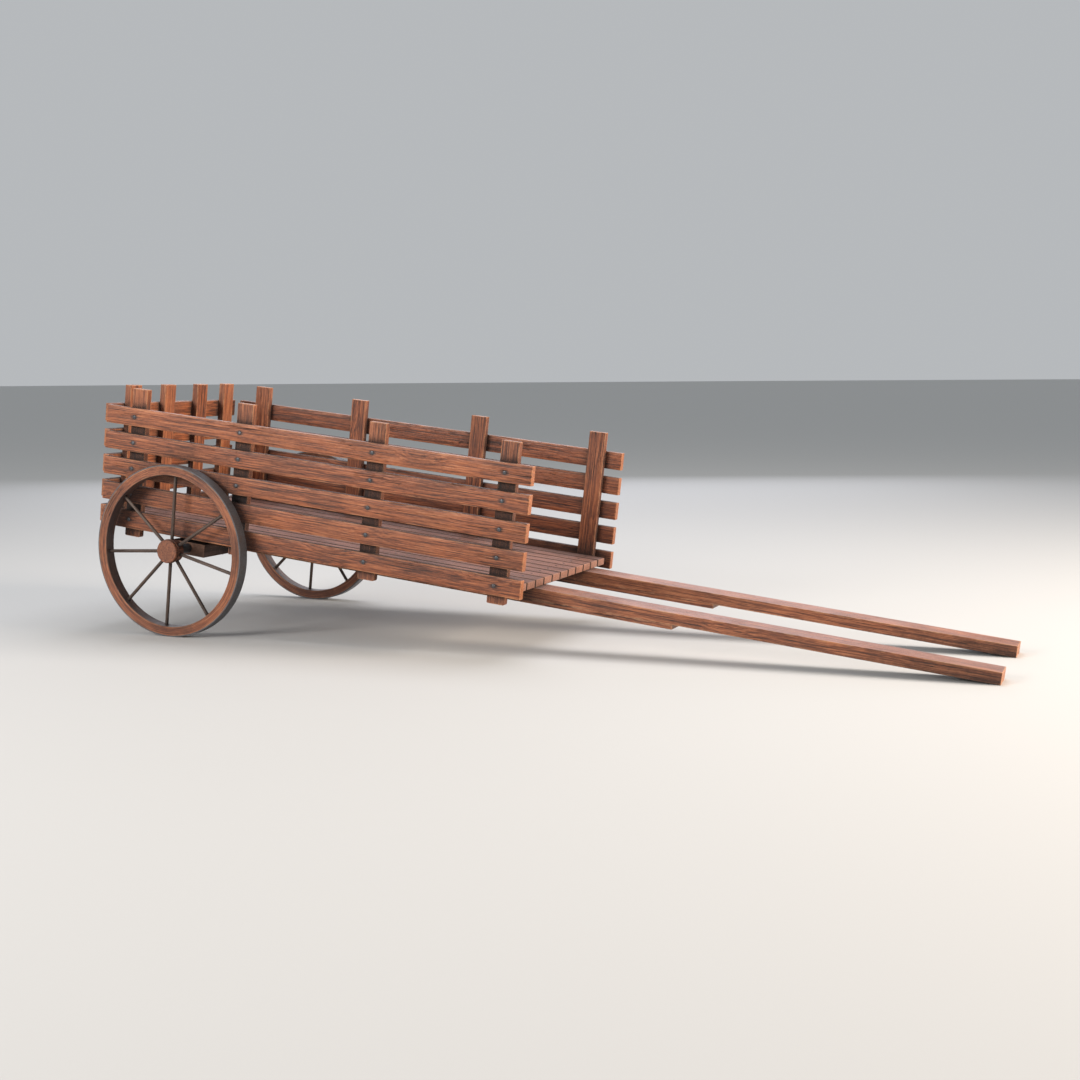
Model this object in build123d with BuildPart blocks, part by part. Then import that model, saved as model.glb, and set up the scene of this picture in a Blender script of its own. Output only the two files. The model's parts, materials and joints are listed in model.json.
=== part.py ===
"""Two-wheeled slatted hand cart with two long draw shafts, at rest on its wheels and shaft tips.

Every size is given in the cart's own axes, in mm: x runs forward to the shaft tips from the
front ends of the side slats, y runs to the left from the centre line, and z runs up from the
tops of the shafts, which carry the floor. The plane CART lays those axes nose down, so that
the wheels and the shaft tips stand on z = 0, with the origin under the middle of the cart.
"""
from build123d import *
from math import asin, atan2, cos, degrees, hypot, radians, sin
import os

os.makedirs("parts", exist_ok=True)

# Timber
BOARD_W = 90.0            # width of slats, posts and bearers
BOARD_T = 35.0            # planed thickness of slats, posts, bearers and floor planks
EASE = 2.0                # rounding of every timber edge

# Sides
SIDE_LENGTH = 2380.0      # length of the side slats
SLAT_COUNT = 5            # slats in each side and in the gate
SLAT_PITCH = 131.0        # from one slat to the next
SLAT_DROP = 26.0          # lowest slat's lower edge below the tops of the shafts
POST_RISE = 97.0          # posts above the top slat
POST_DROP = 72.0          # side posts below the tops of the shafts
POST_TOE = 6.0            # bevel on the foot of a side post
FRONT_POST = 180.0        # back edge of each post, from the front ends of the slats
THIRD_POST = 869.0
SECOND_POST = 1614.0

# Floor
PLANK_W = 100.0
PLANK_GAP = 1.0
FULL_PLANKS = 10
RIPPED_W = 50.0           # narrow plank that fills the right-hand edge
FLOOR_SETBACK = 22.0      # front edge of the floor behind the slats' front ends
BEARER_GAP = 23.0         # between the tail bearer and the rearmost post's bearer

# Gate
GATE_BEHIND = 18.0        # gate slats' front faces behind the side slats' rear ends
GATE_END_GAP = 21.0       # gate slats' ends short of the side slats' inner faces
GATE_RIGHT_POST = 134.0   # outer gate posts' centres in from the sides of the floor
GATE_LEFT_POST = 106.0
GATE_MID_POSTS = (-108.0, 176.0)

# Shafts
SHAFT_REACH = 2103.0      # tips ahead of the slats' front ends
SHAFT_W = 140.0
SHAFT_H = 55.0
SHAFT_APART = 502.0       # between the shafts' inner faces
DOUBLER_REACH = 668.0     # doubler's front step ahead of the slats' front ends
DOUBLER_H = 22.0
DOUBLER_GAP = 3.0         # behind the doubler, to the axle beam

# Axle
AXLE_TO_REAR = 503.0      # wheel centres ahead of the slats' rear ends
AXLE_DROP = 85.0          # wheel centres below the tops of the shafts
BEAM_L = 200.0            # axle beam along the cart
BEAM_H = 66.0
BEAM_OVERHANG = 6.0       # axle beam past each side of the floor
TANG = 30.0               # square end of an axle arm, let into the beam
TANG_L = 260.0
ARM_D = 48.0
COLLAR_D = 66.0
COLLAR_L = 8.0
RUNNING_FIT = 0.08        # between arm and hub, on the radius
END_PLAY = 0.4            # between the hub and what holds it along the arm

# Wheels
WHEEL_D = 860.0
TREAD_W = 60.0
TYRE_T = 6.0
RIM_H = 44.0
WHEEL_GAP = 40.0          # from the side slats' outer faces
HUB_D = 116.0
HUB_BEAD = 3.0            # bead past the hub's body, on the radius
HUB_NECK = 6.0            # groove behind the cap, on the radius
HUB_INSET = 6.0           # hub's inner end outboard of the rim's inner face
CAP_PROUD = 10.0          # cap's face past the rim's outer face
CAP_T = 15.0
GROOVE_W = 4.0
BEAD_W = 5.0
RECESS_D = 70.0           # pocket in the hub for washer and linch pin
RECESS_DEPTH = 19.0
WASHER_T = 4.0
PIN_D = 8.0
SPOKE_D = 17.0
SPOKE_ANGLES = (-9.0, 37.6, 90.0, 142.4, 189.0, 230.0, 270.0, 310.0)
SPOKE_TENON = 20.0        # into rim and hub
BUTT_ANGLE = 101.5        # joints at the two ends of the rim's short closing piece
SCARF_ANGLE = 80.0
SCARF_LEAN = 3.5          # half the scarf's slant, in degrees round the rim
RIM_JOINT = 0.8

# Fasteners
SCREW_D, SCREW_HEAD_D, SCREW_HEAD_H = 6.0, 19.0, 3.5
SCREW_GRIP = 25.0         # length in the post
NAIL_D, NAIL_HEAD_D, NAIL_HEAD_H = 4.0, 9.0, 2.0
NAIL_GRIP = 15.0          # length in the bearer
NAIL_AHEAD = 25.0         # nails ahead of the bearers' middles, clear of the coach screws
COACH_D, COACH_HEAD_D, COACH_HEAD_H = 8.0, 18.0, 7.0
COACH_GRIP = 60.0         # length in the bearer
BOLT_D, BOLT_HEAD_D, BOLT_HEAD_H = 12.0, 24.0, 8.0
BOLT_TAIL = 4.0           # thread past the nut
BOLT_SPREAD = 60.0        # beam bolts either side of the axle
ARM_BOLT_D = 10.0
ARM_BOLT_IN = 80.0        # arm bolts in from the beam's ends
DOUBLER_BOLTS = 5
DOUBLER_BOLT_IN = 110.0   # end bolts in from the doubler's ends

# Lines that pieces share
bed_half = (FULL_PLANKS * (PLANK_W + PLANK_GAP) + RIPPED_W) / 2
slat_in = bed_half + BOARD_T
slat_out = slat_in + BOARD_T
rear = -SIDE_LENGTH
gate_front = rear - GATE_BEHIND
floor_rear = gate_front + BOARD_T
slat_bottoms = [-SLAT_DROP + SLAT_PITCH * i for i in range(SLAT_COUNT)][::-1]
slat_mids = [z + BOARD_W / 2 for z in slat_bottoms]
slats_top = slat_bottoms[0] + BOARD_W
posts_top = slats_top + POST_RISE
rear_post = floor_rear + BOARD_W + BEARER_GAP
post_backs = (rear_post, -SECOND_POST, -THIRD_POST, -FRONT_POST)
post_mids = [x + BOARD_W / 2 for x in post_backs]
bearer_backs = (floor_rear,) + post_backs
bearer_mids = [x + BOARD_W / 2 for x in bearer_backs]
nail_xs = [x + NAIL_AHEAD for x in bearer_mids]
gate_mids = (-bed_half + GATE_RIGHT_POST, *GATE_MID_POSTS, bed_half - GATE_LEFT_POST)
shaft_in = SHAFT_APART / 2
shaft_mid = shaft_in + SHAFT_W / 2
coach_z = -BOARD_T / 4
axle_x = rear + AXLE_TO_REAR
beam_end = bed_half + BEAM_OVERHANG
beam_top = -SHAFT_H
beam_bottom = beam_top - BEAM_H
wheel_r = WHEEL_D / 2
rim_out = wheel_r - TYRE_T
rim_in = rim_out - RIM_H
wheel_inner = slat_out + WHEEL_GAP
wheel_outer = wheel_inner + TREAD_W
wheel_mid = wheel_inner + TREAD_W / 2
hub_r = HUB_D / 2
hub_inner = wheel_inner + HUB_INSET
cap_face = wheel_outer + CAP_PROUD
cap_back = cap_face - CAP_T
recess_floor = cap_back - RECESS_DEPTH
spoke_root = hub_r - SPOKE_TENON
spoke_end = rim_in + SPOKE_TENON

# Rest: the nose drops until the rounded lower edges of the shaft tips meet the ground
dx = SHAFT_REACH - EASE - axle_x
dz = -AXLE_DROP + SHAFT_H - EASE
nose_down = asin((wheel_r - EASE) / hypot(dx, dz)) - atan2(dz, dx)


def level(x, z):
    """Where a point of the cart lies along the ground, and how high, before the origin is set."""
    return x * cos(nose_down) + z * sin(nose_down), -x * sin(nose_down) + z * cos(nose_down)


axle_at, axle_up = level(axle_x, -AXLE_DROP)
front_at = max(level(SHAFT_REACH - EASE, -EASE)[0] + EASE, axle_at + wheel_r)
gate_foot = level(gate_front - BOARD_T + EASE, slat_bottoms[-1] + EASE)[0] - EASE
gate_head = level(gate_front - BOARD_T + EASE, slats_top - EASE)[0] - EASE
rear_at = min(gate_foot, gate_head, axle_at - wheel_r)
CART = Plane(
    origin=(-(front_at + rear_at) / 2, 0, wheel_r - axle_up),
    x_dir=(cos(nose_down), 0, -sin(nose_down)),
    z_dir=(sin(nose_down), 0, cos(nose_down)),
)


def at(x, y, z, facing=Plane.XY):
    """A work plane through a point of the cart, facing as a plane of the cart's axes does."""
    return Plane(CART.location * Location((x, y, z)) * facing.location)


def save(piece, name):
    """Label a finished piece and write it as a node."""
    piece.part.label = name
    export_step(piece.part, f"parts/{name}.step")


def board(x0, x1, y0, y1, z0, z1):
    """A planed board between two corners of the cart's axes, with eased edges."""
    with BuildPart() as blank:
        with BuildSketch(at((x0 + x1) / 2, (y0 + y1) / 2, z0)):
            Rectangle(x1 - x0, y1 - y0)
        extrude(amount=z1 - z0)
        fillet(blank.edges(), EASE)
    return blank


def other_side(piece):
    """The same piece on the left of the cart."""
    with BuildPart() as twin:
        mirror(piece.part, about=Plane.XZ)
    return twin


# ---------------------------------------------------------------- floor
plank_edges = [bed_half - i * (PLANK_W + PLANK_GAP) for i in range(FULL_PLANKS + 1)]
plank_widths = [PLANK_W] * FULL_PLANKS + [RIPPED_W]
plank_mids = [edge - width / 2 for edge, width in zip(plank_edges, plank_widths)]
for number, (edge, width, mid) in enumerate(zip(plank_edges, plank_widths, plank_mids), 1):
    blank = board(floor_rear, -FLOOR_SETBACK, edge - width, edge, 0, BOARD_T)
    with BuildPart() as floor_plank:
        add(blank.part)
        with BuildSketch(at(0, mid, BOARD_T)):
            with Locations([(x, 0) for x in nail_xs]):
                Circle(NAIL_HEAD_D / 2)
        extrude(amount=-NAIL_HEAD_H, mode=Mode.SUBTRACT)
        with BuildSketch(at(0, mid, BOARD_T)):
            with Locations([(x, 0) for x in nail_xs]):
                Circle(NAIL_D / 2)
        extrude(amount=-BOARD_T, mode=Mode.SUBTRACT)
    save(floor_plank, f"floor_plank_{number:02d}")

with BuildPart() as floor_nails:
    with BuildSketch(at(0, 0, BOARD_T)):
        with Locations([(x, y) for x in nail_xs for y in plank_mids]):
            Circle(NAIL_HEAD_D / 2)
    extrude(amount=-NAIL_HEAD_H)
    with BuildSketch(at(0, 0, BOARD_T)):
        with Locations([(x, y) for x in nail_xs for y in plank_mids]):
            Circle(NAIL_D / 2)
    extrude(amount=-BOARD_T - NAIL_GRIP)
save(floor_nails, "floor_nails")

# Cross bearers, halved over the shafts; the posts are screwed to their ends
bearer_blanks = [board(x, x + BOARD_W, -bed_half, bed_half, -BOARD_T, 0) for x in bearer_backs]
with BuildPart() as floor_bearers:
    for blank in bearer_blanks:
        add(blank.part)
    with BuildSketch(at(0, 0, -BOARD_T)):
        with Locations([(x, side * shaft_mid) for x in bearer_mids for side in (-1, 1)]):
            Rectangle(BOARD_W, SHAFT_W)
    extrude(amount=BOARD_T / 2, mode=Mode.SUBTRACT)
    with BuildSketch(at(0, 0, 0)):
        with Locations([(x, y) for x in nail_xs for y in plank_mids]):
            Circle(NAIL_D / 2)
    extrude(amount=-NAIL_GRIP, mode=Mode.SUBTRACT)
    with BuildSketch(at(0, -bed_half, 0, Plane.XZ)):
        with Locations([(x, coach_z) for x in post_mids]):
            Circle(COACH_D / 2)
    extrude(amount=-COACH_GRIP, mode=Mode.SUBTRACT)
    with BuildSketch(at(0, bed_half, 0, Plane.XZ)):
        with Locations([(x, coach_z) for x in post_mids]):
            Circle(COACH_D / 2)
    extrude(amount=COACH_GRIP, mode=Mode.SUBTRACT)
    with BuildSketch(at(floor_rear, 0, 0, Plane.YZ)):
        with Locations([(y, coach_z) for y in gate_mids]):
            Circle(COACH_D / 2)
    extrude(amount=COACH_GRIP, mode=Mode.SUBTRACT)
save(floor_bearers, "floor_bearers")

# ---------------------------------------------------------------- sides
for number, (bottom, mid) in enumerate(zip(slat_bottoms, slat_mids), 1):
    blank = board(rear, 0, -slat_out, -slat_in, bottom, bottom + BOARD_W)
    with BuildPart() as right_slat:
        add(blank.part)
        with BuildSketch(at(0, -slat_in, 0, Plane.XZ)):
            with Locations([(x, mid) for x in post_mids]):
                Circle(SCREW_D / 2)
        extrude(amount=BOARD_T, mode=Mode.SUBTRACT)
    save(right_slat, f"right_slat_{number}")
    save(other_side(right_slat), f"left_slat_{number}")

for number, (back, mid) in enumerate(zip(post_backs, post_mids), 1):
    blank = board(back, back + BOARD_W, -slat_in, -bed_half, -POST_DROP, posts_top)
    with BuildPart() as right_post:
        add(blank.part)
        with BuildSketch(at(0, -bed_half, 0, Plane.XZ)):
            for edge, inward in ((back, 1), (back + BOARD_W, -1)):
                with BuildLine():
                    Polyline((edge - inward, -POST_DROP - 1),
                             (edge + inward * POST_TOE, -POST_DROP - 1),
                             (edge + inward * POST_TOE, -POST_DROP),
                             (edge, -POST_DROP + POST_TOE),
                             (edge - inward, -POST_DROP + POST_TOE),
                             close=True)
                make_face()
        extrude(amount=BOARD_T, mode=Mode.SUBTRACT)
        with BuildSketch(at(0, -slat_in, 0, Plane.XZ)):
            with Locations([(mid, z) for z in slat_mids]):
                Circle(SCREW_D / 2)
        extrude(amount=-SCREW_GRIP, mode=Mode.SUBTRACT)
        with BuildSketch(at(mid, -slat_in, coach_z, Plane.XZ)):
            Circle(COACH_HEAD_D / 2)
        extrude(amount=-COACH_HEAD_H, mode=Mode.SUBTRACT)
        with BuildSketch(at(mid, -slat_in, coach_z, Plane.XZ)):
            Circle(COACH_D / 2)
        extrude(amount=-BOARD_T, mode=Mode.SUBTRACT)
    save(right_post, f"right_post_{number}")
    save(other_side(right_post), f"left_post_{number}")

# ---------------------------------------------------------------- gate
gate_half = slat_in - GATE_END_GAP
for number, (bottom, mid) in enumerate(zip(slat_bottoms, slat_mids), 1):
    blank = board(gate_front - BOARD_T, gate_front, -gate_half, gate_half, bottom, bottom + BOARD_W)
    with BuildPart() as gate_slat:
        add(blank.part)
        with BuildSketch(at(gate_front, 0, 0, Plane.YZ)):
            with Locations([(y, mid) for y in gate_mids]):
                Circle(SCREW_D / 2)
        extrude(amount=-BOARD_T, mode=Mode.SUBTRACT)
    save(gate_slat, f"gate_slat_{number}")

for number, mid in enumerate(gate_mids, 1):
    blank = board(gate_front, floor_rear, mid - BOARD_W / 2, mid + BOARD_W / 2, -BOARD_T, posts_top)
    with BuildPart() as gate_post:
        add(blank.part)
        with BuildSketch(at(gate_front, 0, 0, Plane.YZ)):
            with Locations([(mid, z) for z in slat_mids]):
                Circle(SCREW_D / 2)
        extrude(amount=SCREW_GRIP, mode=Mode.SUBTRACT)
        with BuildSketch(at(gate_front, mid, coach_z, Plane.YZ)):
            Circle(COACH_HEAD_D / 2)
        extrude(amount=COACH_HEAD_H, mode=Mode.SUBTRACT)
        with BuildSketch(at(gate_front, mid, coach_z, Plane.YZ)):
            Circle(COACH_D / 2)
        extrude(amount=BOARD_T, mode=Mode.SUBTRACT)
    save(gate_post, f"gate_post_{number}")

# Round-headed screws, one at each crossing of a slat and a post
side_crossings = [(x, z) for x in post_mids for z in slat_mids]
gate_crossings = [(y, z) for y in gate_mids for z in slat_mids]
screw_rows = (
    (at(0, -slat_out, 0, Plane.XZ), 1, side_crossings),
    (at(0, slat_out, 0, Plane.XZ), -1, side_crossings),
    (at(gate_front - BOARD_T, 0, 0, Plane.YZ), -1, gate_crossings),
)
with BuildPart() as slat_screws:
    for face, outward, crossings in screw_rows:
        with BuildSketch(face):
            with Locations(crossings):
                Circle(SCREW_HEAD_D / 2)
        extrude(amount=outward * SCREW_HEAD_H)
    domes = [edge for edge in slat_screws.edges().filter_by(GeomType.CIRCLE)
             if CART.to_local_coords(edge.center()).X < gate_front - BOARD_T - SCREW_HEAD_H / 2
             or abs(edge.center().Y) > slat_out + SCREW_HEAD_H / 2]
    fillet(domes, SCREW_HEAD_H * 0.9)
    for face, outward, crossings in screw_rows:
        with BuildSketch(face):
            with Locations(crossings):
                Circle(SCREW_D / 2)
        extrude(amount=-outward * (BOARD_T + SCREW_GRIP))
save(slat_screws, "slat_screws")

# ---------------------------------------------------------------- shafts
doubler_rear = axle_x + BEAM_L / 2 + DOUBLER_GAP
doubler_bolt_step = (DOUBLER_REACH - doubler_rear - 2 * DOUBLER_BOLT_IN) / (DOUBLER_BOLTS - 1)
doubler_bolt_xs = [doubler_rear + DOUBLER_BOLT_IN + doubler_bolt_step * i
                   for i in range(DOUBLER_BOLTS)]
beam_bolt_xs = (axle_x - BOLT_SPREAD, axle_x + BOLT_SPREAD)
blank = board(floor_rear, SHAFT_REACH, -shaft_mid - SHAFT_W / 2, -shaft_in, -SHAFT_H, 0)
with BuildPart() as right_shaft:
    add(blank.part)
    with BuildSketch(at(0, -shaft_mid, 0)):
        with Locations([(x, 0) for x in bearer_mids]):
            Rectangle(BOARD_W, SHAFT_W)
    extrude(amount=-BOARD_T / 2, mode=Mode.SUBTRACT)
    with BuildSketch(at(0, -shaft_mid, 0)):
        with Locations([(x, 0) for x in beam_bolt_xs]):
            Circle(BOLT_HEAD_D / 2)
    extrude(amount=-BOLT_HEAD_H, mode=Mode.SUBTRACT)
    with BuildSketch(at(0, -shaft_mid, 0)):
        with Locations([(x, 0) for x in beam_bolt_xs]):
            Circle(BOLT_D / 2)
    extrude(amount=-SHAFT_H, mode=Mode.SUBTRACT)
    with BuildSketch(at(0, -shaft_mid, -SHAFT_H)):
        with Locations([(x, 0) for x in doubler_bolt_xs]):
            Circle(COACH_D / 2)
    extrude(amount=SHAFT_H / 2, mode=Mode.SUBTRACT)
save(right_shaft, "right_shaft")
save(other_side(right_shaft), "left_shaft")

blank = board(doubler_rear, DOUBLER_REACH, -shaft_mid - SHAFT_W / 2, -shaft_in,
              -SHAFT_H - DOUBLER_H, -SHAFT_H)
with BuildPart() as right_doubler:
    add(blank.part)
    with BuildSketch(at(0, -shaft_mid, -SHAFT_H)):
        with Locations([(x, 0) for x in doubler_bolt_xs]):
            Circle(COACH_D / 2)
    extrude(amount=-DOUBLER_H, mode=Mode.SUBTRACT)
with BuildPart() as shaft_doublers:
    add(right_doubler.part)
    mirror(right_doubler.part, about=Plane.XZ)
save(shaft_doublers, "shaft_doublers")

# ---------------------------------------------------------------- axle
arm_bolt_y = beam_end - ARM_BOLT_IN
blank = board(axle_x - BEAM_L / 2, axle_x + BEAM_L / 2, -beam_end, beam_end,
              beam_bottom, beam_top)
with BuildPart() as axle_beam:
    add(blank.part)
    for side in (-1, 1):
        with BuildSketch(at(axle_x, side * beam_end, -AXLE_DROP, Plane.XZ)):
            Rectangle(TANG, TANG)
        extrude(amount=side * TANG_L, mode=Mode.SUBTRACT)
    with BuildSketch(at(axle_x, 0, beam_top)):
        with GridLocations(2 * BOLT_SPREAD, 2 * shaft_mid, 2, 2):
            Circle(BOLT_D / 2)
    extrude(amount=-BEAM_H, mode=Mode.SUBTRACT)
    with BuildSketch(at(axle_x, 0, beam_top)):
        with Locations((0, -arm_bolt_y), (0, arm_bolt_y)):
            Circle(ARM_BOLT_D / 2)
    extrude(amount=-BEAM_H, mode=Mode.SUBTRACT)
save(axle_beam, "axle_beam")

arm_tip = cap_back - END_PLAY * 10
pin_y = recess_floor + 2 * END_PLAY + WASHER_T + PIN_D / 2
with BuildPart() as right_arm:
    with BuildSketch(at(axle_x, -beam_end, -AXLE_DROP, Plane.XZ)):
        Rectangle(TANG, TANG)
    extrude(amount=-TANG_L)
    with BuildSketch(at(axle_x, -beam_end, -AXLE_DROP, Plane.XZ)):
        Circle(ARM_D / 2)
    extrude(amount=arm_tip - beam_end)
    tip_face = right_arm.faces().sort_by(Axis.Y)[0]
    chamfer(tip_face.edges(), 2.0)
    with BuildSketch(at(axle_x, -hub_inner + END_PLAY, -AXLE_DROP, Plane.XZ)):
        Circle(COLLAR_D / 2)
    extrude(amount=-COLLAR_L)
    with BuildSketch(at(axle_x, -arm_bolt_y, beam_top)):
        Circle(ARM_BOLT_D / 2)
    extrude(amount=-BEAM_H, mode=Mode.SUBTRACT)
    with BuildSketch(at(axle_x, -pin_y, -AXLE_DROP)):
        Circle(PIN_D / 2)
    extrude(amount=ARM_D, both=True, mode=Mode.SUBTRACT)
with BuildPart() as axle_arms:
    add(right_arm.part)
    mirror(right_arm.part, about=Plane.XZ)
save(axle_arms, "axle_arms")

# Washer and linch pin that keep each wheel on its arm, inside the hub's pocket
washer_r = RECESS_D / 2 - 1.0
with BuildPart() as right_retainer:
    with BuildSketch(at(axle_x, -recess_floor - END_PLAY, -AXLE_DROP, Plane.XZ)):
        Circle(washer_r)
        Circle(ARM_D / 2, mode=Mode.SUBTRACT)
    extrude(amount=WASHER_T)
    with BuildSketch(at(axle_x, -pin_y, -AXLE_DROP)):
        Circle(PIN_D / 2)
    extrude(amount=washer_r - 2.0, both=True)
with BuildPart() as axle_retainers:
    add(right_retainer.part)
    mirror(right_retainer.part, about=Plane.XZ)
save(axle_retainers, "axle_retainers")

# Bolts and coach screws of the frame
with BuildPart() as frame_bolts:
    # through shafts and axle beam, heads sunk under the floor, nuts below the beam
    with BuildSketch(at(axle_x, 0, 0)):
        with GridLocations(2 * BOLT_SPREAD, 2 * shaft_mid, 2, 2):
            Circle(BOLT_HEAD_D / 2)
    extrude(amount=-BOLT_HEAD_H)
    with BuildSketch(at(axle_x, 0, 0)):
        with GridLocations(2 * BOLT_SPREAD, 2 * shaft_mid, 2, 2):
            Circle(BOLT_D / 2)
    extrude(amount=beam_bottom - BOLT_HEAD_H - BOLT_TAIL)
    with BuildSketch(at(axle_x, 0, beam_bottom)):
        with GridLocations(2 * BOLT_SPREAD, 2 * shaft_mid, 2, 2):
            RegularPolygon(BOLT_HEAD_D / 2, 6)
    extrude(amount=-BOLT_HEAD_H)
    # down through beam and axle arms
    with BuildSketch(at(axle_x, 0, beam_top)):
        with Locations((0, -arm_bolt_y), (0, arm_bolt_y)):
            RegularPolygon(ARM_BOLT_D, 6)
    extrude(amount=BOLT_HEAD_H)
    with BuildSketch(at(axle_x, 0, beam_top)):
        with Locations((0, -arm_bolt_y), (0, arm_bolt_y)):
            Circle(ARM_BOLT_D / 2)
    extrude(amount=-BEAM_H - BOLT_HEAD_H - BOLT_TAIL)
    with BuildSketch(at(axle_x, 0, beam_bottom)):
        with Locations((0, -arm_bolt_y), (0, arm_bolt_y)):
            RegularPolygon(ARM_BOLT_D, 6)
    extrude(amount=-BOLT_HEAD_H)
    # up through the doublers into the shafts
    doubler_bolts = [(x, side * shaft_mid) for x in doubler_bolt_xs for side in (-1, 1)]
    with BuildSketch(at(0, 0, -SHAFT_H - DOUBLER_H)):
        with Locations(doubler_bolts):
            RegularPolygon(COACH_HEAD_D / 2, 6)
    extrude(amount=-COACH_HEAD_H)
    with BuildSketch(at(0, 0, -SHAFT_H - DOUBLER_H)):
        with Locations(doubler_bolts):
            Circle(COACH_D / 2)
    extrude(amount=DOUBLER_H + SHAFT_H / 2)
    # through the side posts into the bearers' ends
    for side in (-1, 1):
        with BuildSketch(at(0, side * slat_in, 0, Plane.XZ)):
            with Locations([(x, coach_z) for x in post_mids]):
                Circle(COACH_HEAD_D / 2)
        extrude(amount=side * COACH_HEAD_H)
        with BuildSketch(at(0, side * slat_in, 0, Plane.XZ)):
            with Locations([(x, coach_z) for x in post_mids]):
                Circle(COACH_D / 2)
        extrude(amount=side * (BOARD_T + COACH_GRIP))
    # through the gate posts into the tail bearer
    with BuildSketch(at(gate_front, 0, 0, Plane.YZ)):
        with Locations([(y, coach_z) for y in gate_mids]):
            Circle(COACH_HEAD_D / 2)
    extrude(amount=COACH_HEAD_H)
    with BuildSketch(at(gate_front, 0, 0, Plane.YZ)):
        with Locations([(y, coach_z) for y in gate_mids]):
            Circle(COACH_D / 2)
    extrude(amount=BOARD_T + COACH_GRIP)
save(frame_bolts, "frame_bolts")

# ---------------------------------------------------------------- wheels
def spoke_face(angle, radius):
    """A plane across a spoke of the right wheel, at a radius from the wheel's centre."""
    along = (cos(radians(angle)), 0, sin(radians(angle)))
    return at(axle_x + radius * along[0], -wheel_mid, -AXLE_DROP + radius * along[2],
              Plane(origin=(0, 0, 0), x_dir=(0, 1, 0), z_dir=along))


def on_rim(radius, angle, shift=0.0):
    """A point of the rim's drawing, moved round the rim by a distance."""
    turn = radians(angle) + shift / radius
    return radius * cos(turn), radius * sin(turn)


def closing_piece(widen):
    """Outline of the rim's short closing piece, wider by a gap at each end."""
    low, high = rim_in - 10, rim_out + 10
    return Polyline(on_rim(low, SCARF_ANGLE + SCARF_LEAN, -widen),
                    on_rim(high, SCARF_ANGLE - SCARF_LEAN, -widen),
                    on_rim(high, (SCARF_ANGLE + BUTT_ANGLE) / 2),
                    on_rim(high, BUTT_ANGLE, widen),
                    on_rim(low, BUTT_ANGLE, widen),
                    close=True)


with BuildPart() as right_tyre:
    with BuildSketch(at(axle_x, -wheel_inner, -AXLE_DROP, Plane.XZ)):
        Circle(wheel_r)
        Circle(rim_out, mode=Mode.SUBTRACT)
    extrude(amount=TREAD_W)
    tread_edges = [edge for edge in right_tyre.edges().filter_by(GeomType.CIRCLE)
                   if edge.radius > wheel_r - 1]
    chamfer(tread_edges, 1.0)
save(right_tyre, "right_wheel_tyre")
save(other_side(right_tyre), "left_wheel_tyre")

with BuildPart() as whole_rim:
    with BuildSketch(at(axle_x, -wheel_inner, -AXLE_DROP, Plane.XZ)):
        Circle(rim_out)
        Circle(rim_in, mode=Mode.SUBTRACT)
    extrude(amount=TREAD_W)
    inner_edges = [edge for edge in whole_rim.edges().filter_by(GeomType.CIRCLE)
                   if edge.radius < rim_in + 1]
    chamfer(inner_edges, EASE)
    for angle in SPOKE_ANGLES:
        with BuildSketch(spoke_face(angle, spoke_end)):
            Circle(SPOKE_D / 2)
        extrude(amount=-SPOKE_TENON * 1.5, mode=Mode.SUBTRACT)

with BuildPart() as long_bend:
    add(whole_rim.part)
    with BuildSketch(at(axle_x, -wheel_inner, -AXLE_DROP, Plane.XZ)):
        with BuildLine():
            closing_piece(RIM_JOINT)
        make_face()
    extrude(amount=TREAD_W, mode=Mode.SUBTRACT)

with BuildPart() as short_bend:
    add(whole_rim.part)
    with BuildSketch(at(axle_x, -wheel_inner, -AXLE_DROP, Plane.XZ)):
        with BuildLine():
            closing_piece(0)
        make_face()
    extrude(amount=TREAD_W, mode=Mode.INTERSECT)

with BuildPart() as right_rim:
    add(long_bend.part)
    add(short_bend.part)
save(right_rim, "right_wheel_rim")
save(other_side(right_rim), "left_wheel_rim")

with BuildPart() as right_spokes:
    for angle in SPOKE_ANGLES:
        with BuildSketch(spoke_face(angle, spoke_root)):
            Circle(SPOKE_D / 2)
        extrude(amount=spoke_end - spoke_root)
save(right_spokes, "right_wheel_spokes")
save(other_side(right_spokes), "left_wheel_spokes")

bead_back = cap_back - GROOVE_W - BEAD_W
with BuildPart() as right_hub:
    with BuildSketch(at(axle_x, -hub_inner, -AXLE_DROP, Plane.XZ)):
        Circle(hub_r)
    extrude(amount=bead_back - hub_inner)
    fillet(right_hub.edges().sort_by(Axis.Y)[-1], EASE)
    with BuildSketch(at(axle_x, -bead_back, -AXLE_DROP, Plane.XZ)):
        Circle(hub_r + HUB_BEAD)
    extrude(amount=BEAD_W)
    bead_edges = [edge for edge in right_hub.edges().filter_by(GeomType.CIRCLE)
                  if edge.radius > hub_r + 1]
    fillet(bead_edges, EASE)
    with BuildSketch(at(axle_x, -bead_back - BEAD_W, -AXLE_DROP, Plane.XZ)):
        Circle(hub_r - HUB_NECK)
    extrude(amount=GROOVE_W)
    with BuildSketch(at(axle_x, -hub_inner, -AXLE_DROP, Plane.XZ)):
        Circle(ARM_D / 2 + RUNNING_FIT)
    extrude(amount=cap_back - hub_inner, mode=Mode.SUBTRACT)
    with BuildSketch(at(axle_x, -recess_floor, -AXLE_DROP, Plane.XZ)):
        Circle(RECESS_D / 2)
    extrude(amount=RECESS_DEPTH, mode=Mode.SUBTRACT)
    for angle in SPOKE_ANGLES:
        with BuildSketch(spoke_face(angle, spoke_root)):
            Circle(SPOKE_D / 2)
        extrude(amount=SPOKE_TENON * 2, mode=Mode.SUBTRACT)
save(right_hub, "right_wheel_hub")
save(other_side(right_hub), "left_wheel_hub")

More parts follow.
